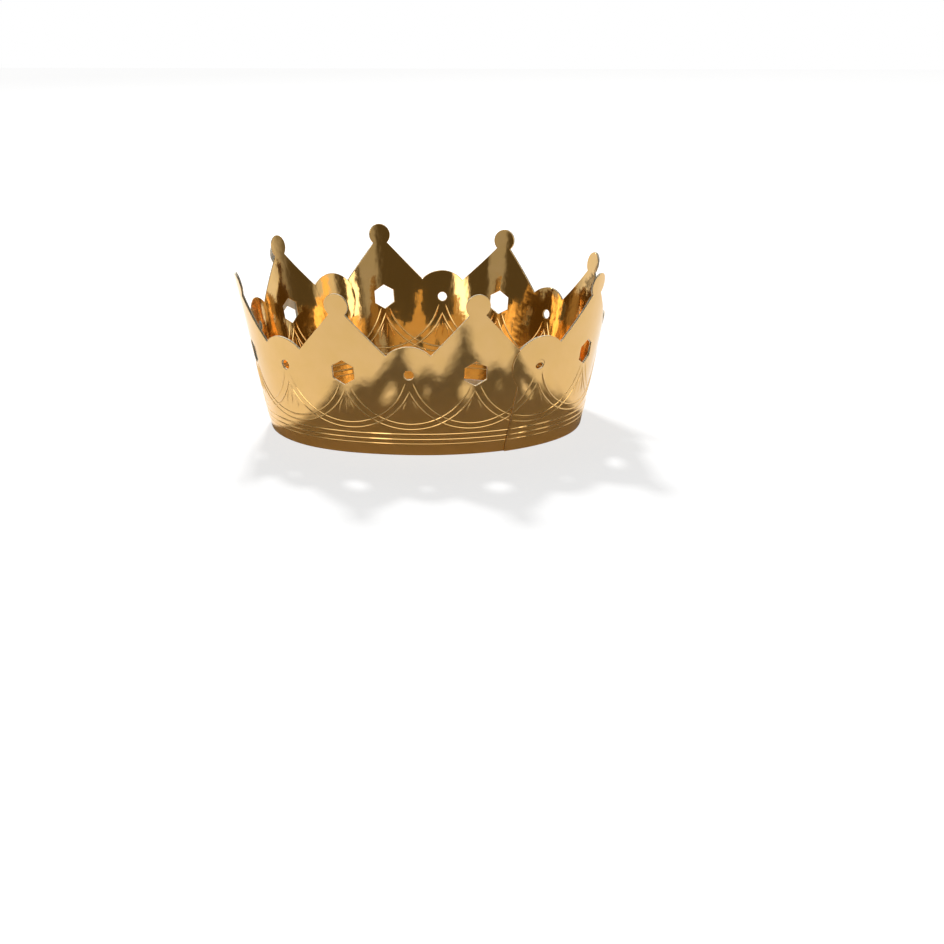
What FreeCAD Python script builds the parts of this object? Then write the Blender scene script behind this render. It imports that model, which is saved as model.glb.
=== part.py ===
"""Paper crown: four die-cut foil cards, rolled into two flared rings that lie back to back."""
import FreeCAD
import Part
import math
import os
import Sketcher
from FreeCAD import Placement, Rotation, Vector

doc = FreeCAD.newDocument("PaperCrown")

# Driving dimensions in millimetres and degrees.
# Heights are measured straight up from the bottom edge.
SIZES = {
    # The ring: inside radius at the bottom edge, and how far the wall leans outwards.
    "rim_radius": 90.0,
    "flare_angle": 11.3,
    "card_thickness": 0.4,
    "tape_thickness": 0.1,
    "peaks_per_card": 4,
    "peak_pitch": 45.0,
    # A peak: the ball on its tip, the neck under the ball, the notch at its foot.
    "ball_height": 91.0,
    "ball_radius": 7.05,
    "neck_half_width": 4.8,
    "notch_from_lobe": 12.7,
    # A lobe between two peaks, and how the end of a card is shaped below its last lobe.
    "lobe_top": 67.7,
    "lobe_radius": 17.6,
    "end_waist": 12.9,
    "end_foot": 16.8,
    # The punched windows.
    "window_height": 50.7,
    "hexagon_flats": 13.3,
    "hole_radius": 2.95,
    # The raised lines: hanging swags in pairs, and ribs round the foot.
    "line_width": 1.3,
    "line_relief": 0.35,
    "swag_low": 19.8,
    "swag_radius": 37.5,
    "second_swag_low": 16.5,
    "second_swag_radius": 42.3,
    "swag_top": 43.3,
    "swag_foot": 14.9,
    "rib_height": 13.4,
    "rib_pitch": 3.1,
    "rib_count": 3,
    # The strips of tape in the laps.
    "tape_low": 6.0,
    "tape_high": 34.0,
    "tape_angle": 7.0,
    # How far the raised lines stop short of a lap that would cover them.
    "covered_margin_angle": 1.0,
    # Room that the cutting tools keep past what they cut, and how far inside the wall they start.
    "cutter_margin": 3.0,
    "cutter_setback": 27.0,
    # How far a blank is rolled past each end before the die trims it.
    "trim_angle": 2.0,
}

sheet = doc.addObject("Spreadsheet::Sheet", "Sizes")
for row, (alias, number) in enumerate(SIZES.items(), start=1):
    sheet.set(f"A{row}", alias)
    sheet.set(f"B{row}", str(number))
    sheet.setAlias(f"B{row}", alias)
doc.recompute()


def size(expression):
    """The present value of an expression over the sheet."""
    value = sheet.evalExpression(expression)
    return float(getattr(value, "Value", value))


# Radii and heights that several pieces share, as expressions over the sheet.
LAYER_PITCH = "(Sizes.card_thickness + Sizes.tape_thickness)"
STACK_MIDDLE = f"(Sizes.rim_radius + 2 * {LAYER_PITCH})"
HALF_PITCH = "(Sizes.peak_pitch / 2)"
CARD_SPAN = "(Sizes.peaks_per_card * Sizes.peak_pitch)"
PEAK_STEPS = "((Sizes.peaks_per_card - 1) * Sizes.peak_pitch)"
BLANK_TOP = "(Sizes.ball_height + Sizes.ball_radius + Sizes.cutter_margin)"
LAP_ANGLE = f"(atan(Sizes.end_foot / {STACK_MIDDLE}) / 1 deg)"
ROLLED_SPAN = f"({CARD_SPAN} + 2 * {LAP_ANGLE} + 2 * Sizes.trim_angle)"
COVERED_SPAN = f"({CARD_SPAN} - 2 * {LAP_ANGLE} - 2 * Sizes.covered_margin_angle)"


def new_body(name):
    return doc.addObject("PartDesign::Body", name)


def origin_feature(body, role):
    for feature in body.Origin.OriginFeatures:
        if feature.Role == role:
            return feature
    raise ValueError(role)


def new_sketch(body, name, turn=None, start=None):
    """A sketch on the body's XZ plane, or facing the card: turned from its middle, moved out."""
    sketch = body.newObject("Sketcher::SketchObject", name)
    sketch.AttachmentSupport = [(origin_feature(body, "XZ_Plane"), "")]
    sketch.MapMode = "FlatFace"
    if turn is not None:
        facing = f"(90 + {turn})"
        sketch.AttachmentOffset = Placement(Vector(), Rotation(Vector(0, 1, 0), size(facing)))
        sketch.setExpression("AttachmentOffset.Rotation.Angle", facing)
        sketch.setExpression("AttachmentOffset.Base.x", f"{start} * sin({facing})")
        sketch.setExpression("AttachmentOffset.Base.z", f"{start} * cos({facing})")
    return sketch


def fix(sketch, kind, expression, *where):
    """One dimension of a sketch, bound to an expression over the sheet."""
    index = sketch.addConstraint(Sketcher.Constraint(kind, *where, size(expression)))
    sketch.setExpression(f"Constraints[{index}]", expression)


def place_point(sketch, geometry, position, across, height):
    """Fixes a point from the sketch's origin: its distance across, and its height."""
    fix(sketch, "DistanceX", across, -1, 1, geometry, position)
    fix(sketch, "DistanceY", height, -1, 1, geometry, position)


def add_polygon(sketch, corners):
    """A closed outline of straight sides through corners, each a pair of expressions."""
    points = [Vector(size(across), size(height), 0) for across, height in corners]
    sides = []
    for index, point in enumerate(points):
        following = points[(index + 1) % len(points)]
        sides.append(sketch.addGeometry(Part.LineSegment(point, following), False))
    for index, side in enumerate(sides):
        following = sides[(index + 1) % len(sides)]
        sketch.addConstraint(Sketcher.Constraint("Coincident", side, 2, following, 1))
    for side, (across, height) in zip(sides, corners):
        place_point(sketch, side, 1, across, height)


def revolve(body, sketch, angle, name):
    """Turns a section about the crown's axis, half the angle to each side of the card's middle."""
    turned = body.newObject("PartDesign::Revolution", name)
    turned.Profile = sketch
    turned.ReferenceAxis = (origin_feature(body, "Z_Axis"), [""])
    turned.Midplane = True
    turned.setExpression("Angle", angle)
    return turned


def pad(body, sketch, length, name):
    padded = body.newObject("PartDesign::Pad", name)
    padded.Profile = sketch
    padded.setExpression("Length", length)
    return padded


def polar_pattern(body, feature, angle, count, name):
    """Repeats a feature round the crown's axis, from the left end of the card to the right."""
    pattern = body.newObject("PartDesign::PolarPattern", name)
    pattern.Originals = [feature]
    pattern.Axis = (origin_feature(body, "Z_Axis"), [""])
    pattern.setExpression("Angle", angle)
    pattern.setExpression("Occurrences", count)
    body.Tip = pattern
    return pattern


def wall_section(low, high, inner, outer):
    """Corners of a slanted strip of wall between two radii, which are given at the bottom edge."""
    lean = "tan(Sizes.flare_angle)"
    return [
        (f"{inner} + ({low}) * {lean}", low),
        (f"{outer} + ({low}) * {lean}", low),
        (f"{outer} + ({high}) * {lean}", high),
        (f"{inner} + ({high}) * {lean}", high),
    ]


# The die that cuts a card, made as the solid of everything that falls away.
die = new_body("Die")

# Round one peak: the air above the lobes, down both flanks and over the ball.
LOBE_ACROSS = f"(({STACK_MIDDLE} + Sizes.lobe_top * tan(Sizes.flare_angle)) * sin({HALF_PITCH}))"
LOBE_RADIUS_SEEN = f"(Sizes.lobe_radius * cos({HALF_PITCH}))"
FIRST_PEAK = f"(-{CARD_SPAN} / 2 + {HALF_PITCH})"
CUTTER_START = "(Sizes.rim_radius - Sizes.cutter_setback)"
WALL_LEAN = f"({BLANK_TOP} * tan(Sizes.flare_angle))"
STACK_DEPTH = f"(4 * {LAYER_PITCH})"
CUTTER_LENGTH = f"(Sizes.cutter_setback + {WALL_LEAN} + {STACK_DEPTH} + Sizes.cutter_margin)"
SKY = f"({BLANK_TOP} + Sizes.cutter_margin)"


def draw_peak_air(sketch):
    """The closed outline round a peak; the right half is dimensioned, the left half mirrors it."""
    lobe_x = size(LOBE_ACROSS)
    lobe_z = size("Sizes.lobe_top")
    lobe_r = size(LOBE_RADIUS_SEEN)
    notch_x = lobe_x - size("Sizes.notch_from_lobe")
    notch_z = lobe_z - lobe_r + math.sqrt(lobe_r**2 - (lobe_x - notch_x) ** 2)
    neck_x = size("Sizes.neck_half_width")
    ball_z = size("Sizes.ball_height")
    ball_r = size("Sizes.ball_radius")
    neck_z = ball_z - math.sqrt(ball_r**2 - neck_x**2)
    side_x = lobe_x + size("Sizes.cutter_margin")
    sky_z = size(SKY)
    neck_angle = math.atan2(neck_z - ball_z, neck_x)
    notch_angle = math.atan2(notch_z - lobe_z + lobe_r, notch_x - lobe_x)

    def line(start, end):
        return sketch.addGeometry(Part.LineSegment(Vector(*start, 0), Vector(*end, 0)), False)

    def arc(centre, radius, begin, end):
        circle = Part.Circle(Vector(*centre, 0), Vector(0, 0, 1), radius)
        return sketch.addGeometry(Part.ArcOfCircle(circle, begin, end), False)

    top = line((-side_x, sky_z), (side_x, sky_z))
    halves = []
    for side in (1, -1):
        edge = line((side * side_x, sky_z), (side * side_x, lobe_z))
        shoulder = line((side * side_x, lobe_z), (side * lobe_x, lobe_z))
        lobe_centre = (side * lobe_x, lobe_z - lobe_r)
        if side > 0:
            lobe = arc(lobe_centre, lobe_r, math.pi / 2, notch_angle)
        else:
            lobe = arc(lobe_centre, lobe_r, math.pi - notch_angle, math.pi / 2)
        flank = line((side * notch_x, notch_z), (side * neck_x, neck_z))
        halves.append((edge, shoulder, lobe, flank))
    ball = arc((0, ball_z), ball_r, neck_angle, math.pi - neck_angle)

    for side, (edge, shoulder, lobe, flank) in zip((1, -1), halves):
        lobe_begin, lobe_end = (1, 2) if side > 0 else (2, 1)
        joints = [
            (top, 2 if side > 0 else 1, edge, 1),
            (edge, 2, shoulder, 1),
            (shoulder, 2, lobe, lobe_begin),
            (lobe, lobe_end, flank, 1),
            (flank, 2, ball, 1 if side > 0 else 2),
        ]
        for joint in joints:
            sketch.addConstraint(Sketcher.Constraint("Coincident", *joint))
    right, left = halves
    place_point(sketch, top, 2, f"{LOBE_ACROSS} + Sizes.cutter_margin", SKY)
    place_point(sketch, right[1], 1, f"{LOBE_ACROSS} + Sizes.cutter_margin", "Sizes.lobe_top")
    place_point(sketch, right[2], 3, LOBE_ACROSS, f"Sizes.lobe_top - {LOBE_RADIUS_SEEN}")
    fix(sketch, "Radius", LOBE_RADIUS_SEEN, right[2])
    sketch.addConstraint(Sketcher.Constraint("Vertical", right[2], 3, right[2], 1))
    fix(sketch, "DistanceX", f"{LOBE_ACROSS} - Sizes.notch_from_lobe", -1, 1, right[3], 1)
    fix(sketch, "DistanceX", f"{LOBE_ACROSS} - Sizes.notch_from_lobe", left[3], 1, -1, 1)
    fix(sketch, "DistanceX", "Sizes.neck_half_width", -1, 1, right[3], 2)
    fix(sketch, "DistanceY", "Sizes.ball_height", -1, 1, ball, 3)
    fix(sketch, "Radius", "Sizes.ball_radius", ball)
    mirrored_points = [
        (top, 1, top, 2),
        (left[1], 1, right[1], 1),
        (left[1], 2, right[1], 2),
        (left[2], 3, right[2], 3),
        (left[3], 2, right[3], 2),
    ]
    vertical_axis = -2
    for points in mirrored_points:
        sketch.addConstraint(Sketcher.Constraint("Symmetric", *points, vertical_axis))


peak_air = new_sketch(die, "PeakAirOutline", FIRST_PEAK, CUTTER_START)
draw_peak_air(peak_air)
doc.recompute()
first_air = pad(die, peak_air, CUTTER_LENGTH, "PeakAir")
polar_pattern(die, first_air, PEAK_STEPS, "Sizes.peaks_per_card", "PeakAirs")
doc.recompute()

# Below one lobe: the round hole punched in it.
hole = new_sketch(die, "HoleOutline", f"(-{CARD_SPAN} / 2)", CUTTER_START)
circle = hole.addGeometry(Part.Circle(Vector(0, size("Sizes.window_height"), 0), Vector(0, 0, 1), 1), False)
hole.addConstraint(Sketcher.Constraint("PointOnObject", circle, 3, -2))
fix(hole, "DistanceY", "Sizes.window_height", -1, 1, circle, 3)
fix(hole, "Radius", "Sizes.hole_radius", circle)
doc.recompute()
first_hole = pad(die, hole, CUTTER_LENGTH, "Hole")
polar_pattern(die, first_hole, CARD_SPAN, "Sizes.peaks_per_card + 1", "Holes")

# In one peak: the six-sided window, standing on a corner.
CORNER_REACH = "(Sizes.hexagon_flats / sqrt(3))"
window = new_sketch(die, "HexagonOutline", FIRST_PEAK, CUTTER_START)
add_polygon(
    window,
    [
        (across, f"Sizes.window_height + {rise} * {CORNER_REACH}")
        for across, rise in [
            ("0", 1),
            ("-Sizes.hexagon_flats / 2", 0.5),
            ("-Sizes.hexagon_flats / 2", -0.5),
            ("0", -1),
            ("Sizes.hexagon_flats / 2", -0.5),
            ("Sizes.hexagon_flats / 2", 0.5),
        ]
    ],
)
doc.recompute()
first_window = pad(die, window, CUTTER_LENGTH, "Hexagon")
polar_pattern(die, first_window, PEAK_STEPS, "Sizes.peaks_per_card", "Hexagons")


def draw_end_air(sketch, side):
    """What falls away past one end: round the last lobe to its waist, then straight to the foot."""
    lobe_r = size("Sizes.lobe_radius")
    lobe_z = size("Sizes.lobe_top") - lobe_r
    waist_x = size("Sizes.end_waist")
    waist_z = lobe_z - math.sqrt(lobe_r**2 - waist_x**2)
    waist_angle = math.atan2(waist_z - lobe_z, waist_x)
    margin = size("Sizes.cutter_margin")
    far_x = size("Sizes.lobe_radius") + size("Sizes.rim_radius") * math.sin(math.radians(size(HALF_PITCH)))
    sky_z = size(SKY)
    foot_x = size("Sizes.end_foot")
    corners = [
        (waist_x, waist_z),
        (foot_x, 0.0),
        (foot_x, -margin),
        (far_x, -margin),
        (far_x, sky_z),
        (0.0, sky_z),
        (0.0, lobe_z + lobe_r),
    ]
    lines = []
    for start, end in zip(corners, corners[1:]):
        begin = Vector(side * start[0], start[1], 0)
        finish = Vector(side * end[0], end[1], 0)
        lines.append(sketch.addGeometry(Part.LineSegment(begin, finish), False))
    circle = Part.Circle(Vector(0, lobe_z, 0), Vector(0, 0, 1), lobe_r)
    if side > 0:
        round_end = sketch.addGeometry(Part.ArcOfCircle(circle, waist_angle, math.pi / 2), False)
    else:
        round_end = sketch.addGeometry(
            Part.ArcOfCircle(circle, math.pi / 2, math.pi - waist_angle), False
        )
    waist_end, top_end = (1, 2) if side > 0 else (2, 1)
    for first, second in zip(lines, lines[1:]):
        sketch.addConstraint(Sketcher.Constraint("Coincident", first, 2, second, 1))
    sketch.addConstraint(Sketcher.Constraint("Coincident", round_end, waist_end, lines[0], 1))
    sketch.addConstraint(Sketcher.Constraint("Coincident", round_end, top_end, lines[-1], 2))
    slope, drop, floor, wall, roof, fall = lines
    for level in (floor, roof):
        sketch.addConstraint(Sketcher.Constraint("Horizontal", level))
    for upright in (drop, wall, fall):
        sketch.addConstraint(Sketcher.Constraint("Vertical", upright))
    origin = (-1, 1)

    def across(expression, *point):
        where = origin + point if side > 0 else point + origin
        fix(sketch, "DistanceX", expression, *where)

    sketch.addConstraint(Sketcher.Constraint("PointOnObject", round_end, 3, -2))
    sketch.addConstraint(Sketcher.Constraint("PointOnObject", round_end, top_end, -2))
    fix(sketch, "Radius", "Sizes.lobe_radius", round_end)
    fix(sketch, "DistanceY", "Sizes.lobe_top - Sizes.lobe_radius", -1, 1, round_end, 3)
    across("Sizes.end_waist", slope, 1)
    across("Sizes.end_foot", slope, 2)
    sketch.addConstraint(Sketcher.Constraint("PointOnObject", slope, 2, -1))
    fix(sketch, "DistanceY", "Sizes.cutter_margin", drop, 2, -1, 1)
    across(f"Sizes.lobe_radius + Sizes.rim_radius * sin({HALF_PITCH})", wall, 1)
    fix(sketch, "DistanceY", SKY, -1, 1, roof, 1)


for side, name in ((-1, "LeftEnd"), (1, "RightEnd")):
    end_air = new_sketch(die, f"{name}Outline", f"({side} * {CARD_SPAN} / 2)", CUTTER_START)
    draw_end_air(end_air, side)
    doc.recompute()
    pad(die, end_air, CUTTER_LENGTH, name)
doc.recompute()

# The press that raises the lines: one pair of hanging swags under each peak and each lobe.
press = new_body("Press")
swags = new_sketch(press, "SwagOutline", f"(-{CARD_SPAN} / 2)", CUTTER_START)
swag_circles = [
    ("Sizes.swag_low", "Sizes.swag_radius"),
    ("Sizes.second_swag_low", "Sizes.second_swag_radius"),
]
for low, radius in swag_circles:
    centre = Vector(0, size(low) + size(radius), 0)
    for half in ("+ Sizes.line_width / 2", "- Sizes.line_width / 2"):
        ring = swags.addGeometry(Part.Circle(centre, Vector(0, 0, 1), size(f"{radius} {half}")), False)
        swags.addConstraint(Sketcher.Constraint("PointOnObject", ring, 3, -2))
        fix(swags, "DistanceY", f"{low} + {radius}", -1, 1, ring, 3)
        fix(swags, "Radius", f"{radius} {half}", ring)
doc.recompute()
first_swag = pad(press, swags, CUTTER_LENGTH, "Swag")
polar_pattern(press, first_swag, CARD_SPAN, "2 * Sizes.peaks_per_card + 1", "Swags")
doc.recompute()


def part_object(kind, name, **links):
    """A Part workbench object, with its links set from keywords."""
    made = doc.addObject(kind, name)
    for link, target in links.items():
        setattr(made, link, target)
    return made


def make_card(name, layer, relief_side, relief_angle, turn):
    """One card: rolled sheet, raised lines on its visible side, cut by the die, turned into place.

    layer counts the thicknesses of card from the inside of the crown.
    relief_side is 1 where the visible side is the outside, and -1 where it is the inside.
    """
    inner = f"(Sizes.rim_radius + {layer} * {LAYER_PITCH})"
    outer = f"({inner} + Sizes.card_thickness)"
    middle = f"({inner} + Sizes.card_thickness / 2)"
    visible = outer if relief_side > 0 else inner
    crest = f"({visible} + {relief_side} * Sizes.line_relief)"
    low_radius, high_radius = (middle, crest) if relief_side > 0 else (crest, middle)

    blank = new_body(f"{name}_blank")
    section = new_sketch(blank, f"{name}_section")
    add_polygon(section, wall_section("0", BLANK_TOP, inner, outer))
    doc.recompute()
    revolve(blank, section, ROLLED_SPAN, f"{name}_rolled")
    ribs = new_sketch(blank, f"{name}_ribs")
    for rib in range(round(size("Sizes.rib_count"))):
        foot = f"(Sizes.rib_height - {rib} * Sizes.rib_pitch)"
        low = f"({foot} - Sizes.line_width / 2)"
        high = f"({foot} + Sizes.line_width / 2)"
        add_polygon(ribs, wall_section(low, high, low_radius, high_radius))
    doc.recompute()
    revolve(blank, ribs, relief_angle, f"{name}_ribs_rolled")

    film = new_body(f"{name}_film")
    film_section = new_sketch(film, f"{name}_film_section")
    add_polygon(film_section, wall_section("Sizes.swag_foot", "Sizes.swag_top", low_radius, high_radius))
    doc.recompute()
    revolve(film, film_section, relief_angle, f"{name}_film_rolled")
    doc.recompute()

    lines = part_object("Part::Common", f"{name}_lines", Base=film, Tool=press)
    embossed = part_object("Part::Fuse", f"{name}_embossed", Base=blank, Tool=lines)
    card = part_object("Part::Cut", name, Base=embossed, Tool=die)
    card.Label = name
    card.Placement = Placement(Vector(), Rotation(Vector(0, 0, 1), turn))
    doc.recompute()
    return card


# The rear pair laps over the front pair: seen from outside at the front right and the rear left.
FRONT_TURN = -135.0
REAR_TURN = 45.0
cards = [
    make_card("front_inner_card", 0, -1, ROLLED_SPAN, FRONT_TURN),
    make_card("rear_inner_card", 1, -1, COVERED_SPAN, REAR_TURN),
    make_card("front_outer_card", 2, 1, COVERED_SPAN, FRONT_TURN),
    make_card("rear_outer_card", 3, 1, ROLLED_SPAN, REAR_TURN),
]


def make_tape(name, layer, turn):
    """A strip of double-sided tape between two cards, in the middle of their lap."""
    inner = f"(Sizes.rim_radius + {layer} * {LAYER_PITCH} + Sizes.card_thickness)"
    tape = new_body(name)
    section = new_sketch(tape, f"{name}_section")
    add_polygon(
        section, wall_section("Sizes.tape_low", "Sizes.tape_high", inner, f"{inner} + Sizes.tape_thickness")
    )
    doc.recompute()
    revolve(tape, section, "Sizes.tape_angle", f"{name}_rolled")
    tape.Label = name
    tape.Placement = Placement(Vector(), Rotation(Vector(0, 0, 1), turn))
    doc.recompute()
    return tape


HALF_SPAN = size(CARD_SPAN) / 2
RIGHT_LAP = FRONT_TURN + HALF_SPAN
LEFT_LAP = REAR_TURN + HALF_SPAN
tapes = [
    make_tape("right_inner_lap_tape", 0, RIGHT_LAP),
    make_tape("left_inner_lap_tape", 0, LEFT_LAP),
    make_tape("right_outer_lap_tape", 2, RIGHT_LAP),
    make_tape("left_outer_lap_tape", 2, LEFT_LAP),
]
doc.recompute()

failed = [item.Name for item in doc.Objects if "Invalid" in item.State or "Error" in item.State]
if failed:
    raise RuntimeError(f"not built: {failed}")
pieces = cards + tapes
for piece in pieces:
    if piece.Shape.isNull() or not piece.Shape.isValid() or len(piece.Shape.Solids) != 1:
        raise RuntimeError(f"not one valid solid: {piece.Label}")
os.makedirs("parts", exist_ok=True)
for piece in pieces:
    piece.Shape.exportStep(f"parts/{piece.Label}.step")
    print(piece.Label, round(piece.Shape.Volume, 1), "cubic millimetres")
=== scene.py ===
import math
import bpy
from mathutils import Matrix, Vector, geometry, kdtree


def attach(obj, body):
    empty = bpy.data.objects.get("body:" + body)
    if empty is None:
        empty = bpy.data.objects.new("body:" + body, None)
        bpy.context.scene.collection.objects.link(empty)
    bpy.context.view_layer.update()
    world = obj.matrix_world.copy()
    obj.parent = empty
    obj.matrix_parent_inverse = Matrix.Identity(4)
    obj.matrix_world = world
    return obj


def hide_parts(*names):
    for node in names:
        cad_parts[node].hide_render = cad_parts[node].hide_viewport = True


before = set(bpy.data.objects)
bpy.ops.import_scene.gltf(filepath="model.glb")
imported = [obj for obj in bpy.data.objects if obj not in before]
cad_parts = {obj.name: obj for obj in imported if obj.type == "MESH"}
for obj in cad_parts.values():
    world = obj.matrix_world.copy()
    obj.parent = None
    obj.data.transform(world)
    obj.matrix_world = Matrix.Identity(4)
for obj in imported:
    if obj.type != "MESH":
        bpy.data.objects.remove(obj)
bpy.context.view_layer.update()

MM = 0.001

# The photograph's camera.
# It stands about a metre in front of the crown, a little to the right, and looks down into the ring.
CAMERA_PLACE = (0.09928, -0.94676, 0.27935)
CAMERA_TURN = 4.316
CAMERA_DIP = 18.454
CAMERA_ROLL = -0.204
CAMERA_LENS = 59.84

camera_data = bpy.data.cameras.new("camera")
camera_data.lens = CAMERA_LENS
camera_data.sensor_width = 36.0
camera_data.dof.use_dof = False
camera = bpy.data.objects.new("camera", camera_data)
camera.matrix_world = (
    Matrix.Translation(CAMERA_PLACE)
    @ Matrix.Rotation(math.radians(CAMERA_TURN), 4, "Z")
    @ Matrix.Rotation(math.radians(90.0 - CAMERA_DIP), 4, "X")
    @ Matrix.Rotation(math.radians(CAMERA_ROLL), 4, "Z")
)
bpy.context.collection.objects.link(camera)
bpy.context.scene.camera = camera
bpy.context.scene.view_settings.view_transform = "Standard"


# The four foil cards.
# Each is one sheet of white board laminated with mirror foil, embossed and die-cut lying flat.
# Rolled, two of them make the inside of the crown and two the outside, back to back.
# Sizes are in millimetres on the flat card: across from an axis, and up from the bottom edge.
RIM_RADIUS = 90.0
FLARE = math.radians(11.3)
APEX = RIM_RADIUS / math.sin(FLARE)
STEP = math.radians(22.5)
FLAT_STEP = STEP * math.sin(FLARE)
BOARD = 0.4
LAYER_PITCH = 0.5

BALL_HEIGHT = 92.8
BALL_RADIUS = 7.2
NECK = 4.8
LOBE_RADIUS = 17.6
WINDOW_HEIGHT = 51.6
NOTCH = 13.3
END_WAIST = 12.9
END_FOOT = 16.8
HEXAGON_FLATS = 13.3
HOLE_RADIUS = 2.95
FOOT_STEPS = 150


def on_card(step, across, up):
    """A point given from the axis that lies a number of half pitches from the card's middle."""
    spun = Matrix.Rotation(-step * FLAT_STEP, 2) @ Vector((across, up + APEX))
    return (spun.x, spun.y - APEX)


def arc(centre, radius, begin, end, spacing=0.75):
    """Points along an arc, both ends included, with angles in radians."""
    count = max(2, math.ceil(abs(end - begin) * radius / spacing))
    steps = [begin + (end - begin) * index / count for index in range(count + 1)]
    return [(centre[0] + radius * math.cos(step), centre[1] + radius * math.sin(step)) for step in steps]


def line(start, end, spacing=2.0):
    """Points along a straight line, both ends included."""
    count = max(1, round(math.dist(start, end) / spacing))
    return [
        (start[0] + (end[0] - start[0]) * index / count, start[1] + (end[1] - start[1]) * index / count)
        for index in range(count + 1)
    ]


def card_outline():
    """The die's cut round one card, anticlockwise from the left foot along the bottom edge."""
    waist_up = WINDOW_HEIGHT - math.sqrt(LOBE_RADIUS**2 - END_WAIST**2)
    foot_up = math.sqrt(APEX**2 - END_FOOT**2) - APEX
    waist_angle = math.atan2(waist_up - WINDOW_HEIGHT, END_WAIST)
    notch_angle = math.acos(NOTCH / LOBE_RADIUS)
    notch_up = WINDOW_HEIGHT + LOBE_RADIUS * math.sin(notch_angle)
    neck_angle = -math.acos(NECK / BALL_RADIUS)
    neck_up = BALL_HEIGHT + BALL_RADIUS * math.sin(neck_angle)

    outline = []
    foot = math.asin(END_FOOT / APEX) + 4 * FLAT_STEP
    for index in range(FOOT_STEPS + 1):
        angle = -foot + 2 * foot * index / FOOT_STEPS
        outline.append((APEX * math.sin(angle), APEX * math.cos(angle) - APEX))
    right = line((END_FOOT, foot_up), (END_WAIST, waist_up))
    right += arc((0, WINDOW_HEIGHT), LOBE_RADIUS, waist_angle, math.pi - notch_angle)
    outline += [on_card(4, *point) for point in right]
    for step in (3, 1, -1, -3):
        ball = arc((0, BALL_HEIGHT), BALL_RADIUS, neck_angle, math.pi - neck_angle)
        outline += [on_card(step, *point) for point in ball]
        last = math.pi - waist_angle if step == -3 else math.pi - notch_angle
        lobe = arc((0, WINDOW_HEIGHT), LOBE_RADIUS, notch_angle, last)
        outline += [on_card(step - 1, *point) for point in lobe]
    outline += [on_card(-4, *point) for point in line((-END_WAIST, waist_up), (-END_FOOT, foot_up))]
    filled = []
    for index, point in enumerate(outline):
        following = outline[(index + 1) % len(outline)]
        if math.dist(point, following) > 0.05:
            filled += line(point, following)[:-1]
    return filled


def hexagon_outline(step):
    """The six-sided window under a ball, standing on a corner."""
    reach = HEXAGON_FLATS / math.sqrt(3)
    corners = [
        (reach * math.sin(math.radians(60 * index)), WINDOW_HEIGHT + reach * math.cos(math.radians(60 * index)))
        for index in range(6)
    ]
    points = []
    for index, corner in enumerate(corners):
        points += line(corner, corners[(index + 1) % 6], 1.0)[:-1]
    return [on_card(step, *point) for point in points]


def hole_outline(step):
    """The round hole in a lobe, clockwise as all the windows are."""
    points = arc((0, WINDOW_HEIGHT), HOLE_RADIUS, math.pi, -math.pi, 0.7)[:-1]
    return [on_card(step, *point) for point in points]


def shrink(loop, by):
    """The loop moved inwards onto the card, which lies to the left of its direction."""
    moved = []
    for index, point in enumerate(loop):
        before = Vector(point) - Vector(loop[index - 1])
        after = Vector(loop[(index + 1) % len(loop)]) - Vector(point)
        first = Vector((-before.y, before.x)).normalized()
        second = Vector((-after.y, after.x)).normalized()
        middle = (first + second).normalized()
        shift = middle * (by / max(0.5, middle.dot(first)))
        moved.append((point[0] + shift.x, point[1] + shift.y))
    return moved


# How the cut edge is shaped, from the foil face round to the paper back.
# The blade presses the foil down over a shoulder, and the white core shows below it.
# Each ring has its inset, its height in half thicknesses, and the lean of its surface.
EDGE_RINGS = [(0.26, 1.0), (0.15, 0.94), (0.05, 0.74), (0.0, 0.45), (0.0, -0.80), (0.06, -1.0)]
SHOULDER_LEAN = [(0.0, 1.0), (0.38, 0.92), (0.80, 0.60), (0.98, 0.20)]
FOIL, CUT_EDGE, PAPER = 0, 1, 2
# The broad faces are cut into an even grid, so that they can bend smoothly.
GRID_COLUMNS = 150
GRID_ROWS = 25
GRID_PITCH = 3.8
GRID_CLEARANCE = 1.3


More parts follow.
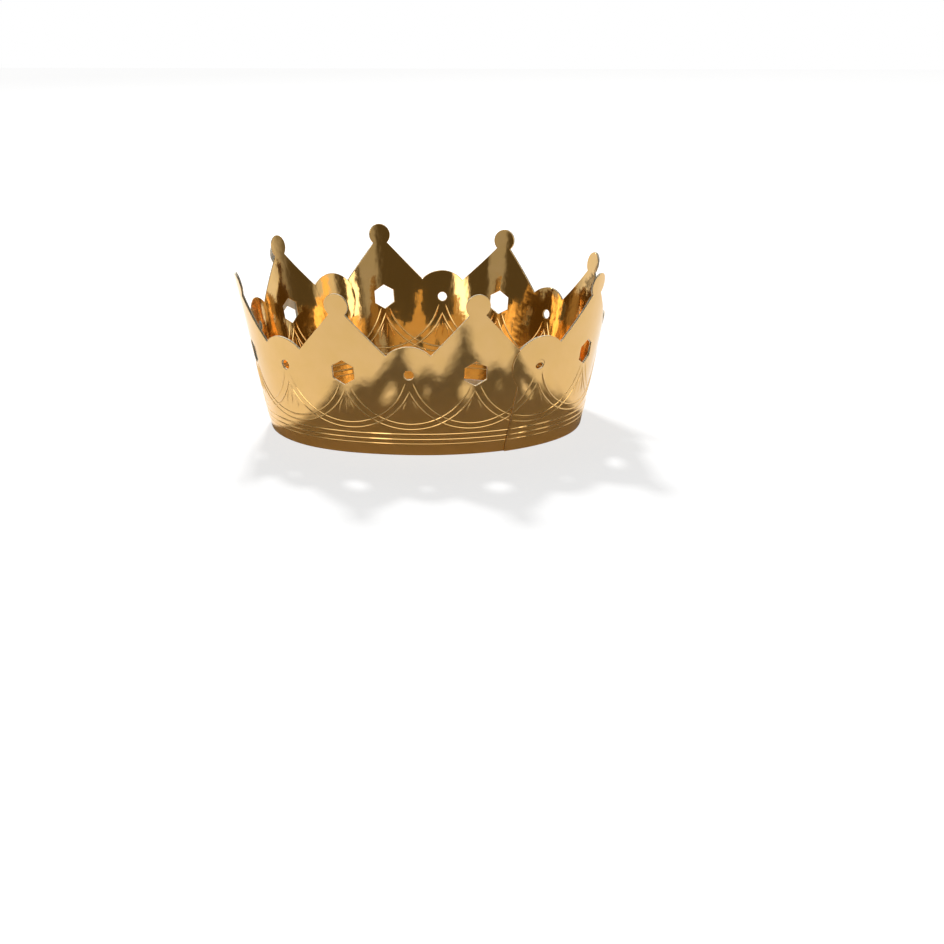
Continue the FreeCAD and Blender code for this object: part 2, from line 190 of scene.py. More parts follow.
def flat_card():
    """The flat card as a closed mesh, with each corner's own normal and each face's surface kept."""
    loops = [card_outline()]
    loops += [hexagon_outline(step) for step in (-3, -1, 1, 3)]
    loops += [hole_outline(step) for step in (-4, -2, 0, 2, 4)]
    verts = []
    faces = []
    kinds = []
    normals = []
    front_rings = []
    back_rings = []
    for loop in loops:
        rings = []
        for inset, rise in EDGE_RINGS:
            ring = shrink(loop, inset) if inset else loop
            rings.append(range(len(verts), len(verts) + len(ring)))
            verts += [(x, y, rise * BOARD / 2) for x, y in ring]
        outward = [
            Vector((point[0] - inside[0], point[1] - inside[1])).normalized()
            for point, inside in zip(loop, shrink(loop, 1.0))
        ]
        for level in range(len(rings) - 1):
            upper, lower = rings[level], rings[level + 1]
            for index in range(len(loop)):
                following = (index + 1) % len(loop)
                faces.append((upper[index], lower[index], lower[following], upper[following]))
                if level < len(SHOULDER_LEAN) - 1:
                    kinds.append(FOIL)
                    corner_leans = [SHOULDER_LEAN[level], SHOULDER_LEAN[level + 1]]
                else:
                    kinds.append(CUT_EDGE)
                    corner_leans = [(1.0, 0.0), (1.0, 0.0)]
                (high_out, high_up), (low_out, low_up) = corner_leans
                for place, out, up in (
                    (index, high_out, high_up),
                    (index, low_out, low_up),
                    (following, low_out, low_up),
                    (following, high_out, high_up),
                ):
                    away = outward[place]
                    normals.append((away.x * out, away.y * out, up))
        front_rings.append(rings[0])
        back_rings.append(rings[-1])

    # The two broad faces are one triangulation each, over the grid.
    grid = []
    tree = kdtree.KDTree(sum(len(loop) for loop in loops))
    for loop in loops:
        for point in loop:
            tree.insert((*point, 0), 0)
    tree.balance()
    span = 4 * FLAT_STEP + math.asin(END_FOOT / APEX)
    for column in range(GRID_COLUMNS + 1):
        angle = -span + 2 * span * column / GRID_COLUMNS
        for row in range(1, GRID_ROWS + 1):
            radius = APEX + row * GRID_PITCH
            point = (radius * math.sin(angle), radius * math.cos(angle) - APEX)
            if tree.find((*point, 0))[2] > GRID_CLEARANCE and inside_outline(point, loops[0]):
                grid.append(point)
    for rings, flip in ((front_rings, False), (back_rings, True)):
        ring_loops = [[verts[index][:2] for index in ring] for ring in rings]
        points = [Vector(verts[index][:2]) for ring in rings for index in ring]
        sources = [index for ring in rings for index in ring]
        edges = []
        start = 0
        for ring in rings:
            edges += [(start + index, start + (index + 1) % len(ring)) for index in range(len(ring))]
            start += len(ring)
        points += [Vector(point) for point in grid]
        height = -BOARD / 2 if flip else BOARD / 2
        for point in grid:
            sources.append(len(verts))
            verts.append((*point, height))
        found = geometry.delaunay_2d_cdt(points, edges, [], 1, 1e-5, True)
        new_points, triangles, origins = found[0], found[2], found[3]
        for triangle in triangles:
            middle = sum((new_points[corner] for corner in triangle), Vector((0, 0))) / 3
            if in_window(middle, ring_loops[1:]) or not inside_outline(middle, ring_loops[0]):
                continue
            corners = [sources[origins[corner][0]] for corner in triangle]
            a, b, c = (Vector(verts[corner][:2]) for corner in corners)
            turning = (b - a).cross(c - a)
            if (turning < 0) != flip:
                corners.reverse()
            faces.append(tuple(corners))
            kinds.append(PAPER if flip else FOIL)
            normals += [(0, 0, -1 if flip else 1)] * 3
    return verts, faces, kinds, normals


def inside_outline(point, outline):
    """Even-odd test of a point against a closed outline."""
    x, y = point
    inside = False
    for index, (x1, y1) in enumerate(outline):
        x0, y0 = outline[index - 1]
        if (y0 > y) != (y1 > y) and x < (x1 - x0) * (y - y0) / (y1 - y0) + x0:
            inside = not inside
    return inside


def in_window(point, window_loops):
    """Whether a point lies in one of the punched windows."""
    near = [loop for loop in window_loops if math.dist(point, loop[0]) < 2.5 * BALL_RADIUS]
    return any(inside_outline(point, loop) for loop in near)


verts, faces, kinds, normals = flat_card()
card_mesh = bpy.data.meshes.new("flat_card")
card_mesh.from_pydata([(x * MM, y * MM, z * MM) for x, y, z in verts], [], faces)
kind_layer = card_mesh.attributes.new("surface", "INT", "FACE")
kind_layer.data.foreach_set("value", kinds)
normal_layer = card_mesh.attributes.new("flat_normal", "FLOAT_VECTOR", "CORNER")
normal_layer.data.foreach_set("vector", [number for normal in normals for number in normal])
card_mesh.validate()


# The embossed lines.
# Heated plates pressed them into the foil side: pairs of swags hung from window to window,
# three ribs round the foot, and small fans of strokes like tassels under each window.
LINE_WIDTH = 1.3
LINE_RISE = 0.34
LINE_OVERLAP = 0.02
LINE_SINK = 0.12
CUT_CLEARANCE = 1.0
SWAGS = [(38.5, 36.0, 56.2, 72.0), (42.0, 38.0, 54.8, 67.0)]
RIBS = [(13.7, 1.0), (10.3, 1.0), (7.4, 0.6)]
TASSEL = [
    [(0.2, 36.0), (0.6, 33.0), (0.3, 29.5), (-0.2, 26.5)],
    [(1.6, 35.0), (3.4, 32.0), (4.3, 29.0), (4.6, 25.5)],
    [(-1.6, 35.0), (-3.4, 32.0), (-4.3, 29.0), (-4.6, 25.5)],
]


def clear_of_cuts(point):
    """Whether an embossed line can pass here without running into a cut."""
    return cut_tree.find((*point, 0))[2] > CUT_CLEARANCE and inside_outline(point, cut_outline)


cut_outline = card_outline()
cut_points = cut_outline + [p for step in (-3, -1, 1, 3) for p in hexagon_outline(step)]
cut_points += [p for step in (-4, -2, 0, 2, 4) for p in hole_outline(step)]
cut_tree = kdtree.KDTree(len(cut_points))
for cut_point in cut_points:
    cut_tree.insert((*cut_point, 0), 0)
cut_tree.balance()

runs = []


def add_run(points, strength):
    """Splits a line where it meets a cut, and keeps the stretches worth pressing."""
    run = []
    for point in points + [None]:
        if point is not None and clear_of_cuts(point):
            run.append(point)
            continue
        if len(run) > 4:
            runs.append((run, strength))
        run = []


for half_wide, half_high, centre_up, reach in SWAGS:
    for step in range(-5, 6):
        angles = [math.radians(reach * (index / 60 - 1)) for index in range(121)]
        swag = [(half_wide * math.sin(a), centre_up - half_high * math.cos(a)) for a in angles]
        add_run([on_card(step, *point) for point in swag], 1.0)
for up, strength in RIBS:
    rib_end = math.asin(END_FOOT / APEX) + 4 * FLAT_STEP
    angles = [rib_end * (index / 150 - 1) for index in range(301)]
    radius = APEX + up
    add_run([(radius * math.sin(a), radius * math.cos(a) - APEX) for a in angles], strength)
for step in range(-4, 5):
    for stroke in TASSEL:
        curve = geometry.interpolate_bezier(*[Vector(point).to_3d() for point in stroke], 14)
        add_run([on_card(step, point.x, point.y) for point in curve], 0.8)

line_curve = bpy.data.curves.new("embossed_lines", "CURVE")
line_curve.dimensions = "3D"
for run, strength in runs:
    spline = line_curve.splines.new("POLY")
    spline.points.add(len(run) - 1)
    for index, (point, (x, y)) in enumerate(zip(spline.points, run)):
        point.co = (x * MM, y * MM, BOARD / 2 * MM, 1)
        from_end = min(index, len(run) - 1 - index)
        point.radius = strength * min(1.0, 0.35 + 0.16 * from_end)
lines_source = bpy.data.objects.new("embossed_lines", line_curve)
bpy.context.collection.objects.link(lines_source)

profile_curve = bpy.data.curves.new("line_profile", "CURVE")
profile_curve.dimensions = "3D"
spline = profile_curve.splines.new("POLY")
hump = [
    (LINE_WIDTH * (index / 10 - 0.5), LINE_OVERLAP - LINE_RISE * (1 - math.cos(math.tau * index / 10)) / 2)
    for index in range(11)
]
hump += [(LINE_WIDTH / 2, LINE_SINK), (-LINE_WIDTH / 2, LINE_SINK)]
spline.points.add(len(hump) - 1)
for point, (across, up) in zip(spline.points, hump):
    point.co = (across * MM, up * MM, 0, 1)
spline.use_cyclic_u = True
profile_source = bpy.data.objects.new("line_profile", profile_curve)
bpy.context.collection.objects.link(profile_source)


# The ring that the cards are rolled into.
# Card springs back unevenly from a roll, so the front stands a little flat and its shoulders round.
# The wall's facing direction wanders by a few degrees; the length of the edge stays the same.
WANDER = [(2, 0.0803, math.radians(67.9)), (3, 0.0890, math.radians(88.2))]
HOOP_POINTS = 1440


def facing(theta):
    """The direction that the wall faces, which for a true circle is theta itself."""
    return theta + sum(size * math.cos(times * theta + shift) for times, size, shift in WANDER)


def hoop_points():
    """The bottom edge's middle line, walked in equal steps and closed."""
    step = math.tau / HOOP_POINTS
    points = [Vector((0, 0))]
    for index in range(HOOP_POINTS):
        heading = facing(-math.pi + (index + 0.5) * step)
        points.append(points[-1] + Vector((math.cos(heading), math.sin(heading))) * RIM_RADIUS * step)
    gap = points[-1] - points[0]
    points = [point - gap * index / HOOP_POINTS for index, point in enumerate(points)]
    middle = sum(points[:-1], Vector((0, 0))) / HOOP_POINTS
    return [point - middle for point in points]


hoop_curve = bpy.data.curves.new("bottom_edge", "CURVE")
hoop_curve.dimensions = "3D"
spline = hoop_curve.splines.new("POLY")
hoop = hoop_points()
spline.points.add(len(hoop) - 1)
for point, (x, y) in zip(spline.points, hoop):
    point.co = (x * MM, y * MM, 0, 1)
hoop_source = bpy.data.objects.new("bottom_edge", hoop_curve)
bpy.context.collection.objects.link(hoop_source)


def add_node(tree, kind, settings=None, **inputs):
    """Adds a node, sets its properties, and links or sets its inputs by name or number."""
    made = tree.nodes.new(kind)
    for name, value in (settings or {}).items():
        setattr(made, name, value)
    for name, value in inputs.items():
        socket = made.inputs[int(name[1:])] if name[0] == "i" and name[1:].isdigit() else made.inputs[name]
        if isinstance(value, bpy.types.NodeSocket):
            tree.links.new(value, socket)
        else:
            socket.default_value = value
    return made


def linear(code):
    """An sRGB hex colour as the linear colour that a shader takes."""
    parts = [int(code[index:index + 2], 16) / 255 for index in (1, 3, 5)]
    return tuple(c / 12.92 if c <= 0.04045 else ((c + 0.055) / 1.055) ** 2.4 for c in parts) + (1.0,)


# Mirror foil: polyester film with vacuum-laid aluminium under a gold lacquer, laminated hot.
# It reflects almost sharply; the board's fibres and the rolls of the press show as a faint ripple.
foil = bpy.data.materials.new("gold_mirror_foil_laminate")
foil.use_nodes = True
shader = foil.node_tree.nodes["Principled BSDF"]
shader.inputs["Metallic"].default_value = 1.0
flat_map = add_node(foil.node_tree, "ShaderNodeUVMap", {"uv_map": "flat_card"})
# Sizes in millimetres. Real board fibres lie closer, and are drawn this coarse so that they show.
FIBRE_SPACING, FIBRE_DEPTH = 1.4, 0.006
RIPPLE_SPACING, RIPPLE_DEPTH = 11.0, 0.14
STREAK_WIDTH, STREAK_LENGTH, STREAK_DEPTH = 2.2, 45.0, 0.012


def foil_noise(width, length, detail, roughness):
    """Soft noise on the flat card, with grains of this width and length."""
    space = add_node(foil.node_tree, "ShaderNodeMapping", Vector=flat_map.outputs["UV"],
                     Scale=(1000 / width, 1000 / length, 1))
    made = add_node(foil.node_tree, "ShaderNodeTexNoise", Vector=space.outputs["Vector"],
                    Scale=1.0, Detail=detail, Roughness=roughness)
    return made.outputs["Fac"]


fibres = foil_noise(FIBRE_SPACING, FIBRE_SPACING, 3.0, 0.6)
streaks = foil_noise(STREAK_WIDTH, STREAK_LENGTH, 4.0, 0.55)
ripple = foil_noise(RIPPLE_SPACING, RIPPLE_SPACING, 2.0, 0.5)
bumped = None
for grains, depth in ((ripple, RIPPLE_DEPTH), (streaks, STREAK_DEPTH), (fibres, FIBRE_DEPTH)):
    bump = add_node(foil.node_tree, "ShaderNodeBump", Strength=1.0, Distance=depth * MM, Height=grains)
    if bumped:
        foil.node_tree.links.new(bumped, bump.inputs["Normal"])
    bumped = bump.outputs["Normal"]
foil.node_tree.links.new(bumped, shader.inputs["Normal"])
rough = add_node(foil.node_tree, "ShaderNodeMapRange", Value=streaks,
                 **{"From Min": 0.3, "From Max": 0.7, "To Min": 0.04, "To Max": 0.09})
foil.node_tree.links.new(rough.outputs["Result"], shader.inputs["Roughness"])
tint = add_node(foil.node_tree, "ShaderNodeValToRGB", Fac=ripple)
tint.color_ramp.elements[0].position = 0.3
tint.color_ramp.elements[0].color = linear("#E8BE79")
tint.color_ramp.elements[1].position = 0.7
tint.color_ramp.elements[1].color = linear("#EBC180")
foil.node_tree.links.new(tint.outputs["Color"], shader.inputs["Base Color"])

# The cut edge: bare white core board between the foil and the back, a little torn by the blade. It is coloured
# gold-cream, a painted golden glow along the rim.
cut_edge = bpy.data.materials.new("die_cut_board_edge")
cut_edge.use_nodes = True
shader = cut_edge.node_tree.nodes["Principled BSDF"]
shader.inputs["Roughness"].default_value = 0.75
edge_place = add_node(cut_edge.node_tree, "ShaderNodeTexCoord")
FIBRE_TEAR = 0.5
edge_noise = add_node(cut_edge.node_tree, "ShaderNodeTexNoise", Vector=edge_place.outputs["Object"],
                      Scale=1000 / FIBRE_TEAR, Detail=2.0)
edge_glow_and_tear = add_node(cut_edge.node_tree, "ShaderNodeValToRGB", Fac=edge_noise.outputs["Fac"])
# Both tones are gold-cream rather than white: painted golden glow on the cut edge, with the noise for the torn
# fibres.
edge_glow_and_tear.color_ramp.elements[0].color = linear("#F1D9A6")
edge_glow_and_tear.color_ramp.elements[1].color = linear("#FFF0D2")
cut_edge.node_tree.links.new(edge_glow_and_tear.outputs["Color"], shader.inputs["Base Color"])

# The back: uncoated greyish-white board with a soft fibre grain.
paper = bpy.data.materials.new("uncoated_board_back")
paper.use_nodes = True
shader = paper.node_tree.nodes["Principled BSDF"]
shader.inputs["Roughness"].default_value = 0.85
paper_place = add_node(paper.node_tree, "ShaderNodeTexCoord")
GRAIN = 0.9
grain = add_node(paper.node_tree, "ShaderNodeTexNoise", Vector=paper_place.outputs["Object"],
                 Scale=1000 / GRAIN, Detail=4.0, Roughness=0.65)
paper_tint = add_node(paper.node_tree, "ShaderNodeValToRGB", Fac=grain.outputs["Fac"])
paper_tint.color_ramp.elements[0].position = 0.35
paper_tint.color_ramp.elements[0].color = linear("#E4E1D8")
paper_tint.color_ramp.elements[1].position = 0.65
paper_tint.color_ramp.elements[1].color = linear("#F3F1EA")
paper.node_tree.links.new(paper_tint.outputs["Color"], shader.inputs["Base Color"])
paper_bump = add_node(paper.node_tree, "ShaderNodeBump", Strength=1.0, Distance=0.00002,
                      Height=grain.outputs["Fac"])
paper.node_tree.links.new(paper_bump.outputs["Normal"], shader.inputs["Normal"])


# The rolling of a card.
# One tree presses the lines onto the flat card, then lays card and lines round the ring,
# at the card's own layer and side, and gives each corner the normal of the rolled surface.
CREEP_FROM, CREEP_TO = math.radians(-180), math.radians(270)
LINE_STEP = 0.9
SLOPE_STEP = 1.5


def maths(tree, operation, *values):
    """A Math node over numbers or sockets."""
    made = add_node(tree, "ShaderNodeMath", {"operation": operation},
                    **{f"i{index}": value for index, value in enumerate(values)})
    return made.outputs[0]


def vector_maths(tree, operation, *values):
    """A Vector Math node over vectors or sockets; Scale takes its factor last."""
    made = add_node(tree, "ShaderNodeVectorMath", {"operation": operation})
    for index, value in enumerate(values):
        socket = made.inputs["Scale"] if operation == "SCALE" and index == 1 else made.inputs[index]
        if isinstance(value, bpy.types.NodeSocket):
            tree.links.new(value, socket)
        else:
            socket.default_value = value
    return made.outputs["Value"] if operation == "DOT_PRODUCT" else made.outputs["Vector"]


def roll_tree():
    """Builds the node tree; its inputs are the sizes that differ between cards."""
    tree = bpy.data.node_groups.new("press_and_roll", "GeometryNodeTree")
    tree.interface.new_socket("Geometry", in_out="INPUT", socket_type="NodeSocketGeometry")
    for name in ("Embossed Lines", "Line Profile", "Bottom Edge", "Creep"):
        tree.interface.new_socket(name, in_out="INPUT", socket_type="NodeSocketObject")
    for name in ("Rim Radius", "Flare", "Middle", "Side", "Layer Offset", "Anchored Height",
                 "Buckle", "Buckle Size", "Seed", "Spring", "Spring From", "Spring To"):
        tree.interface.new_socket(name, in_out="INPUT", socket_type="NodeSocketFloat")
    tree.interface.new_socket("Geometry", in_out="OUTPUT", socket_type="NodeSocketGeometry")
    given = tree.nodes.new("NodeGroupInput").outputs

    def math_of(operation, *values):
        return maths(tree, operation, *values)

    # The pressed lines, swept along their paths with the hump as profile.
    paths = add_node(tree, "GeometryNodeObjectInfo", Object=given["Embossed Lines"])
    profile = add_node(tree, "GeometryNodeObjectInfo", Object=given["Line Profile"])
    upright = add_node(tree, "GeometryNodeSetCurveNormal", {"mode": "Z_UP"},
                       Curve=paths.outputs["Geometry"])
    spaced = add_node(tree, "GeometryNodeResampleCurve", {"mode": "LENGTH"},
                      Curve=upright.outputs["Curve"], Length=LINE_STEP * MM)
    line_radius = add_node(tree, "GeometryNodeInputRadius")
    swept = add_node(tree, "GeometryNodeCurveToMesh", Curve=spaced.outputs["Curve"],
                     **{"Profile Curve": profile.outputs["Geometry"], "Fill Caps": True,
                        "Scale": line_radius.outputs["Radius"]})
    angle = add_node(tree, "GeometryNodeInputMeshEdgeAngle")
    sharp = math_of("GREATER_THAN", angle.outputs["Unsigned Angle"], 0.9)
    creased = add_node(tree, "GeometryNodeSetShadeSmooth", {"domain": "EDGE"},
                       Geometry=swept.outputs["Mesh"], Selection=sharp, **{"Shade Smooth": False})
    own_normal = add_node(tree, "GeometryNodeInputNormal", {"legacy_corner_normals": False})
    lines = add_node(tree, "GeometryNodeStoreNamedAttribute",
                     {"data_type": "FLOAT_VECTOR", "domain": "CORNER"},
                     Geometry=creased.outputs["Geometry"], Name="flat_normal",
                     Value=own_normal.outputs["Normal"])
    joined = add_node(tree, "GeometryNodeJoinGeometry")
    tree.links.new(lines.outputs["Geometry"], joined.inputs["Geometry"])
    tree.links.new(given["Geometry"], joined.inputs["Geometry"])

    # The flat coordinates are kept, for the foil's pattern and for the rolling itself.
    place = add_node(tree, "GeometryNodeInputPosition")
    kept = add_node(tree, "GeometryNodeStoreNamedAttribute",
                    {"data_type": "FLOAT2", "domain": "CORNER"},
                    Geometry=joined.outputs["Geometry"], Name="flat_card",
                    Value=place.outputs["Position"])
    side = given["Side"]
    flat = add_node(tree, "ShaderNodeSeparateXYZ", Vector=place.outputs["Position"])
    across = math_of("MULTIPLY", flat.outputs["X"], side)
    apex = math_of("DIVIDE", given["Rim Radius"], math_of("SINE", given["Flare"]))
    up = math_of("ADD", flat.outputs["Y"], apex)
    height = math_of("MULTIPLY", flat.outputs["Z"], side)
    fan_angle = math_of("ARCTAN2", across, up)
    fan_radius = math_of("SQRT", math_of("ADD", math_of("MULTIPLY", across, across),
                                         math_of("MULTIPLY", up, up)))
    slant = math_of("SUBTRACT", fan_radius, apex)
    theta = math_of("ADD", given["Middle"],
                    math_of("DIVIDE", fan_angle, math_of("SINE", given["Flare"])))

    # A shallow buckle in the board, from smooth noise, and the spring of a card's free ends
    # away from the lap; both are sampled here and a step to each side, for the slope.
    def buckle(step_round, step_up):
        turn = math_of("ADD", theta, step_round)
        spot = add_node(tree, "ShaderNodeCombineXYZ",
                        X=math_of("MULTIPLY", math_of("SINE", turn), given["Rim Radius"]),
                        Y=math_of("MULTIPLY", math_of("COSINE", turn), given["Rim Radius"]),
                        Z=math_of("MULTIPLY", math_of("ADD", slant, step_up), 0.6))
        noise = add_node(tree, "ShaderNodeTexNoise", {"noise_dimensions": "4D"},
                         Vector=spot.outputs["Vector"], W=given["Seed"],
                         Scale=math_of("DIVIDE", 1.0, given["Buckle Size"]), Detail=0.5)
        centred = math_of("SUBTRACT", noise.outputs["Fac"], 0.5)
        wave = math_of("MULTIPLY", centred, given["Buckle"])
        from_middle = math_of("ABSOLUTE", math_of("SUBTRACT", turn, given["Middle"]))
        past = math_of("MAXIMUM", math_of("SUBTRACT", from_middle, given["Spring From"]), 0.0)
        part_way = math_of("DIVIDE", past, math_of("SUBTRACT", given["Spring To"], given["Spring From"]))
        spring = math_of("MULTIPLY", math_of("MULTIPLY", part_way, part_way), given["Spring"])
        return math_of("ADD", wave, spring)

    reach = SLOPE_STEP * MM
    here = buckle(0.0, 0.0)
    beside = buckle(math_of("DIVIDE", reach, given["Rim Radius"]), 0.0)
    above = buckle(0.0, reach)
    slope_round = math_of("DIVIDE", math_of("SUBTRACT", beside, here), reach)
    slope_up = math_of("DIVIDE", math_of("SUBTRACT", above, here), reach)

    # The foot of the wall, read from the ring by its length.
    creep_info = add_node(tree, "GeometryNodeObjectInfo", Object=given["Creep"])
    creep_place = math_of("DIVIDE", math_of("SUBTRACT", theta, CREEP_FROM), CREEP_TO - CREEP_FROM)
    creep = add_node(tree, "GeometryNodeSampleCurve", {"mode": "FACTOR", "data_type": "FLOAT"},
                     Curves=creep_info.outputs["Geometry"], Factor=creep_place)
    creep_up = add_node(tree, "ShaderNodeSeparateXYZ", Vector=creep.outputs["Position"])
    share = add_node(tree, "ShaderNodeMath", {"operation": "DIVIDE", "use_clamp": True},
                     i0=slant, i1=given["Anchored Height"])
    lift = math_of("MULTIPLY", creep_up.outputs["Z"], share.outputs[0])
    lift = math_of("ADD", lift, math_of("MULTIPLY", given["Layer Offset"], math_of("SINE", given["Flare"])))
    wrapped = add_node(tree, "ShaderNodeMath", {"operation": "WRAP"}, i0=theta, i1=math.pi, i2=-math.pi)
    length = math_of("MULTIPLY", math_of("ADD", wrapped.outputs[0], math.pi), given["Rim Radius"])
    hoop_info = add_node(tree, "GeometryNodeObjectInfo", Object=given["Bottom Edge"])
    foot = add_node(tree, "GeometryNodeSampleCurve", {"mode": "LENGTH", "data_type": "FLOAT"},
                    Curves=hoop_info.outputs["Geometry"], Length=length)
    along = vector_maths(tree, "NORMALIZE", foot.outputs["Tangent"])
    out = vector_maths(tree, "CROSS_PRODUCT", along, (0.0, 0.0, 1.0))
    sine = math_of("SINE", given["Flare"])
    cosine = math_of("COSINE", given["Flare"])

    def blend(first, first_share, second, second_share):
        return vector_maths(tree, "ADD", vector_maths(tree, "SCALE", first, first_share),
                            vector_maths(tree, "SCALE", second, second_share))

    upright_axis = add_node(tree, "ShaderNodeCombineXYZ", Z=1.0).outputs["Vector"]
    up_wall = blend(out, sine, upright_axis, cosine)
    from_wall = blend(out, cosine, upright_axis, math_of("MULTIPLY", sine, -1.0))
    off_wall = math_of("ADD", math_of("ADD", height, given["Layer Offset"]), here)
    on_wall = vector_maths(tree, "ADD", foot.outputs["Position"], blend(up_wall, slant, from_wall, off_wall))
    lifted = vector_maths(tree, "ADD", on_wall,
                          vector_maths(tree, "SCALE", upright_axis, lift))

    # The rolled normal: the flat one, leaned by the buckle, carried into the wall's own directions.
    flat_normal = add_node(tree, "GeometryNodeInputNamedAttribute", {"data_type": "FLOAT_VECTOR"},
                           Name="flat_normal")
    parts = add_node(tree, "ShaderNodeSeparateXYZ", Vector=flat_normal.outputs["Attribute"])
    spin = math_of("MULTIPLY", fan_angle, -1.0)
    level_x = math_of("MULTIPLY", parts.outputs["X"], side)
    level_y = parts.outputs["Y"]
    normal_up = math_of("MULTIPLY", parts.outputs["Z"], side)
    round_part = math_of("ADD", math_of("MULTIPLY", level_x, math_of("COSINE", spin)),
                         math_of("MULTIPLY", level_y, math_of("SINE", spin)))
    slant_part = math_of("SUBTRACT", math_of("MULTIPLY", level_y, math_of("COSINE", spin)),
                         math_of("MULTIPLY", level_x, math_of("SINE", spin)))
    round_part = math_of("SUBTRACT", round_part, math_of("MULTIPLY", slope_round, normal_up))
    slant_part = math_of("SUBTRACT", slant_part, math_of("MULTIPLY", slope_up, normal_up))
    rolled = vector_maths(tree, "ADD", blend(along, round_part, up_wall, slant_part),
                          vector_maths(tree, "SCALE", from_wall, normal_up))
    rolled = vector_maths(tree, "NORMALIZE", rolled)
    stored = add_node(tree, "GeometryNodeStoreNamedAttribute",
                      {"data_type": "FLOAT_VECTOR", "domain": "CORNER"},
                      Geometry=kept.outputs["Geometry"], Name="rolled_normal", Value=rolled)
    moved = add_node(tree, "GeometryNodeSetPosition", Geometry=stored.outputs["Geometry"],
                     Position=lifted)
    real = add_node(tree, "GeometryNodeRealizeInstances", Geometry=moved.outputs["Geometry"])
    surface = add_node(tree, "GeometryNodeInputNamedAttribute", {"data_type": "INT"}, Name="surface")
    last = real.outputs["Geometry"]
    for kind, material in ((FOIL, foil), (CUT_EDGE, cut_edge), (PAPER, paper)):
        chosen = add_node(tree, "FunctionNodeCompare", {"data_type": "INT", "operation": "EQUAL"})
        tree.links.new(surface.outputs["Attribute"], chosen.inputs[2])
        chosen.inputs[3].default_value = kind
        dressed = add_node(tree, "GeometryNodeSetMaterial", Geometry=last,
                           Selection=chosen.outputs["Result"], Material=material)
        last = dressed.outputs["Geometry"]
    end = tree.nodes.new("NodeGroupOutput")
    tree.links.new(last, end.inputs["Geometry"])
    return tree


press_and_roll = roll_tree()


def rolled_piece(name, flat_mesh, **sizes):
    """Runs the tree on a flat mesh and returns the rolled piece as a plain mesh object."""
    worker = bpy.data.objects.new("worker", flat_mesh)
    bpy.context.collection.objects.link(worker)
    modifier = worker.modifiers.new("roll", "NODES")
    modifier.node_group = press_and_roll
    sockets = {item.name: item.identifier for item in press_and_roll.interface.items_tree
               if item.in_out == "INPUT"}
    given = {
        "Embossed Lines": lines_source, "Line Profile": profile_source, "Bottom Edge": hoop_source,
        "Rim Radius": RIM_RADIUS * MM, "Flare": FLARE, "Anchored Height": 50 * MM, "Spring": 0.0,
        "Spring From": math.radians(84), "Spring To": math.radians(101),
        "Buckle": 1.3 * MM, "Buckle Size": 40 * MM, "Seed": 3.0,
    }
    given.update(sizes)
    for label, value in given.items():
        modifier[sockets[label]] = value
    bpy.context.view_layer.update()
    graph = bpy.context.evaluated_depsgraph_get()
    mesh = bpy.data.meshes.new_from_object(worker.evaluated_get(graph))
    mesh.name = name
    bpy.data.objects.remove(worker)
    count = len(mesh.loops)
    kept = [0.0] * (count * 3)
    mesh.attributes["rolled_normal"].data.foreach_get("vector", kept)
    mesh.normals_split_custom_set([kept[index:index + 3] for index in range(0, count * 3, 3)])
    for spare in ("rolled_normal", "flat_normal", "surface"):
        if spare in mesh.attributes:
            mesh.attributes.remove(mesh.attributes[spare])
    piece = bpy.data.objects.new(name, mesh)
    bpy.context.collection.objects.link(piece)
    return piece


# The tape in the two laps.
# Thin double-sided paper tape, stuck to one card's end before the next card's end is pressed on.
TAPE_THICKNESS = 0.1


def flat_tape():
    """One strip of tape lying flat, as a closed box cut into short pieces so that it can bend."""
    half_wide, low, high, thick = 4.5, 6.0, 34.0, TAPE_THICKNESS
    box_verts = []
    box_faces = []
    columns = 6
    for column in range(columns + 1):
        across = half_wide * (2 * column / columns - 1)
        for up, rise in ((low, 0.5), (high, 0.5), (high, -0.5), (low, -0.5)):
            box_verts.append((across * MM, up * MM, rise * thick * MM))
    for column in range(columns):
        for corner in range(4):
            here, beside = column * 4 + corner, column * 4 + (corner + 1) % 4
            box_faces.append((here, here + 4, beside + 4, beside))
    box_faces.append((0, 1, 2, 3))
    box_faces.append(tuple(columns * 4 + corner for corner in (3, 2, 1, 0)))
    mesh = bpy.data.meshes.new("flat_tape")
    mesh.from_pydata(box_verts, [], box_faces)
    mesh.attributes.new("surface", "INT", "FACE").data.foreach_set("value", [PAPER] * len(box_faces))
    flat_normals = mesh.attributes.new("flat_normal", "FLOAT_VECTOR", "CORNER")
    for polygon in mesh.polygons:
        for corner in polygon.loop_indices:
            flat_normals.data[corner].vector = polygon.normal
    return mesh


FRONT_MIDDLE = math.radians(-45)
REAR_MIDDLE = math.radians(135)
CARDS = [
    ("front_inner_foil_card", "front_inner_card", FRONT_MIDDLE, -1.0, 0),
    ("rear_inner_foil_card", "rear_inner_card", REAR_MIDDLE, -1.0, 1),
    ("front_outer_foil_card", "front_outer_card", FRONT_MIDDLE, 1.0, 2),
    ("rear_outer_foil_card", "rear_outer_card", REAR_MIDDLE, 1.0, 3),
]
# How far each card crept up as it was taped, in millimetres at degrees round the crown.
# The left lap stands highest, and the feet of the cards stay down on the table.
CREEP_POINTS = 225
REAR_CREEP = [(45, 2.0), (67.5, 2.4), (90, 0.5), (112.5, -1.5), (135, -0.5), (157.5, 2.4), (180, 4.3),
              (202.5, 6.0), (225, 6.5)]
SPRINGS = {"front_inner_card": -0.6, "rear_outer_card": 0.7}
CREEPS = {
    "front_inner_card": [(-135, 8.0), (-112.5, 7.7), (-90, 6.0), (-67.5, 0.8), (-45, 0.0), (45, 0.0)],
    "rear_inner_card": REAR_CREEP,
    "front_outer_card": [(-135, 3.0), (-112.5, 2.5), (-90, 1.2), (-67.5, 0.0), (45, 0.0)],
    "rear_outer_card": REAR_CREEP,
}


